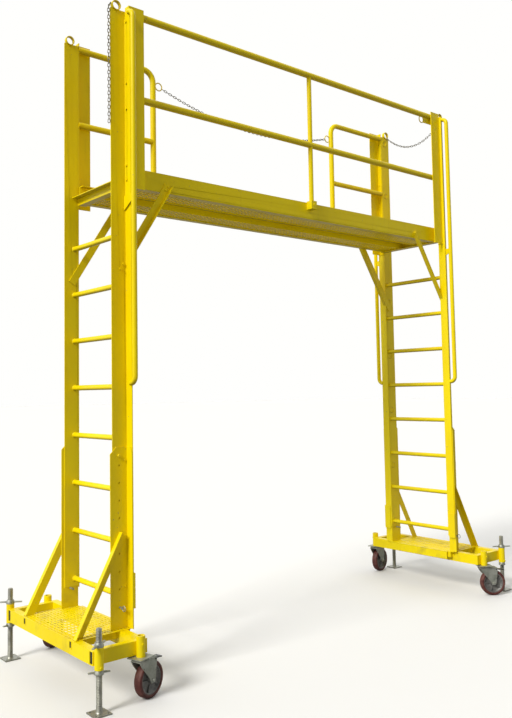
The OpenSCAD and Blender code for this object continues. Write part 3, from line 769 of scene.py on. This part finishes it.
# %% Cast the wing nuts
BOSS_PROFILE = [
    (0.0173, 0.0), (0.0250, 0.0), (0.0268, 0.0025), (0.0268, 0.0090),
    (0.0240, 0.0150), (0.0232, 0.0215), (0.0215, 0.0240), (0.0173, 0.0240),
]
NUT_HEIGHT, LUG_ROOT, LUG_MIDDLE = 0.024, 0.020, 0.011
UPPER_REACH, LOWER_REACH = 0.0745, 0.0595


def wing_nut(bm, x, y, z, reach, turn):
    turned(bm, BOSS_PROFILE, Matrix.Translation((x, y, z)), steps=32, closed=True)
    for side in (0, math.pi):
        start = len(bm.verts)
        block(bm, (LUG_ROOT, -0.0088, 0.0062), (reach, 0.0088, 0.0158), 0.0040)
        bm.verts.ensure_lookup_table()
        lug = bm.verts[start:]
        for v in lug:
            out = (v.co.x - LUG_ROOT) / (reach - LUG_ROOT)
            v.co.y *= 1.0 - 0.25 * math.sin(out * math.pi)
            v.co.z = LUG_MIDDLE + (v.co.z - LUG_MIDDLE) * (1.0 - 0.20 * out)
        bmesh.ops.transform(
            bm, matrix=Matrix.Translation((x, y, z)) @ Matrix.Rotation(turn + side, 4, "Z"), verts=lug,
        )


for corner in CORNERS:
    node = f"{corner}_jack_nuts"
    low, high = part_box(node)
    x, y = (low.x + high.x) / 2, (low.y + high.y) / 2
    flip = (-1 if x < 0 else 1) * (-1 if y < 0 else 1)
    bm = bmesh.new()
    wing_nut(bm, x, y, high.z - NUT_HEIGHT, UPPER_REACH, flip * math.radians(35))
    wing_nut(bm, x, y, low.z, LOWER_REACH, flip * math.radians(-20))
    piece = finished(bm, f"{corner}_wing_nuts", node, ZINC)
    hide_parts(node)
print("cast", len(CORNERS), "pairs of wing nuts")

# %% [markdown]
# ## Welds, bolts and plugs
#
# Small things tell the eye how big a structure is. A fillet weld runs round each end of every rung.
# It is a ring whose radius ripples, as the puddles of a hand weld do.

# %% Run the rung welds
def weld_bead(bm, centre, axis, radius, bead=0.0032, ripples=22):
    start = len(bm.verts)
    inside = radius - 0.001
    section = [
        (inside, 0.0), (radius + bead, 0.0),
        (radius + bead * 0.55, bead * 0.6), (inside, bead * 1.1),
    ]
    turned(bm, section, steps=ripples * 2, closed=True)
    bm.verts.ensure_lookup_table()
    made = bm.verts[start:]
    for v in made:
        swell = 1.0 + 0.018 * math.cos(ripples * math.atan2(v.co.y, v.co.x))
        v.co.x *= swell
        v.co.y *= swell
    bmesh.ops.transform(bm, matrix=standing(centre, axis), verts=made)


RUNGS = 8
for side in SIDES:
    low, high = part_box(f"{side}_rungs")
    x, radius = (low.x + high.x) / 2, (high.x - low.x) / 2
    bm = bmesh.new()
    first, last = low.z + radius, high.z - radius
    for k in range(RUNGS):
        z = first + (last - first) * k / (RUNGS - 1)
        weld_bead(bm, (x, low.y, z), (0, 1, 0), radius)
        weld_bead(bm, (x, high.y, z), (0, -1, 0), radius)
    piece = finished(bm, f"{side}_rung_welds", "upper", PAINT)
print("welds per rung set:", RUNGS * 2)

# %% [markdown]
# A large bolt through each sleeve near its top keeps the stile snug, and two small ones hold its
# wear pads. They were painted over in place, so they take the paint.

# %% Set the painted bolts
def hex_head(bm, place, radius, height):
    profile = [
        (0.0, 0.0), (radius, 0.0), (radius, height * 0.8), (radius * 0.86, height), (0.0, height),
    ]
    turned(bm, profile, place, steps=6)


SLEEVE_FACE = 0.3103
# Each bolt: how far from the middle, how high, and the radius and height of its head.
SLEEVE_BOLTS = (
    (1.621, 1.316, 0.011, 0.008),
    (1.585, 1.290, 0.0075, 0.005),
    (1.585, 0.560, 0.0075, 0.005),
)
for side, x_side in zip(SIDES, (-1, 1)):
    bm = bmesh.new()
    for y_side in (-1, 1):
        for x, z, radius, height in SLEEVE_BOLTS:
            spot = (x_side * x, y_side * SLEEVE_FACE, z)
            hex_head(bm, standing(spot, (0, y_side, 0)), radius, height)
    piece = finished(bm, f"{side}_sleeve_bolts", f"{side}_base", PAINT)
print("bolts set")

# %% [markdown]
# Near-black blocks sit a little way inside the open ends of the base tubes, as painted shade for the
# dark inside of the hollow tubes. Without them the eye looks straight through the hollow tubes.

# %% Set the painted shade in the tube ends
EDGE_X = 1.930
# Each shade block: place across the base, half width, underside, and how far in its two faces lie.
TUBE_END_SHADES = ((0.530, 0.0145, 0.2495, 0.004, 0.012), (0.299, 0.0095, 0.2805, 0.0, 0.008))
TUBE_END_SHADE_TOP = 0.3145
for side, out in zip(SIDES, (-1, 1)):
    bm = bmesh.new()
    for across, half, bottom, front, back in TUBE_END_SHADES:
        x0, x1 = sorted((out * (EDGE_X - front), out * (EDGE_X - back)))
        for y in (-across, across):
            block(bm, (x0, y - half, bottom), (x1, y + half, TUBE_END_SHADE_TOP), 0.002)
    piece = finished(bm, f"{side}_painted_tube_end_shades", f"{side}_base", TUBE_END_SHADE)
print("painted tube end shades set")

# %% [markdown]
# ## Print the size
#
# Both boxes, the CAD model's and the dressed model's, are printed.

# %% Measure and finish
low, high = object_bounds()
for a, b in (("cad", (cad_low, cad_high)), ("visual", (low, high))):
    print(a, [round(v, 4) for v in b[0]], [round(v, 4) for v in b[1]])
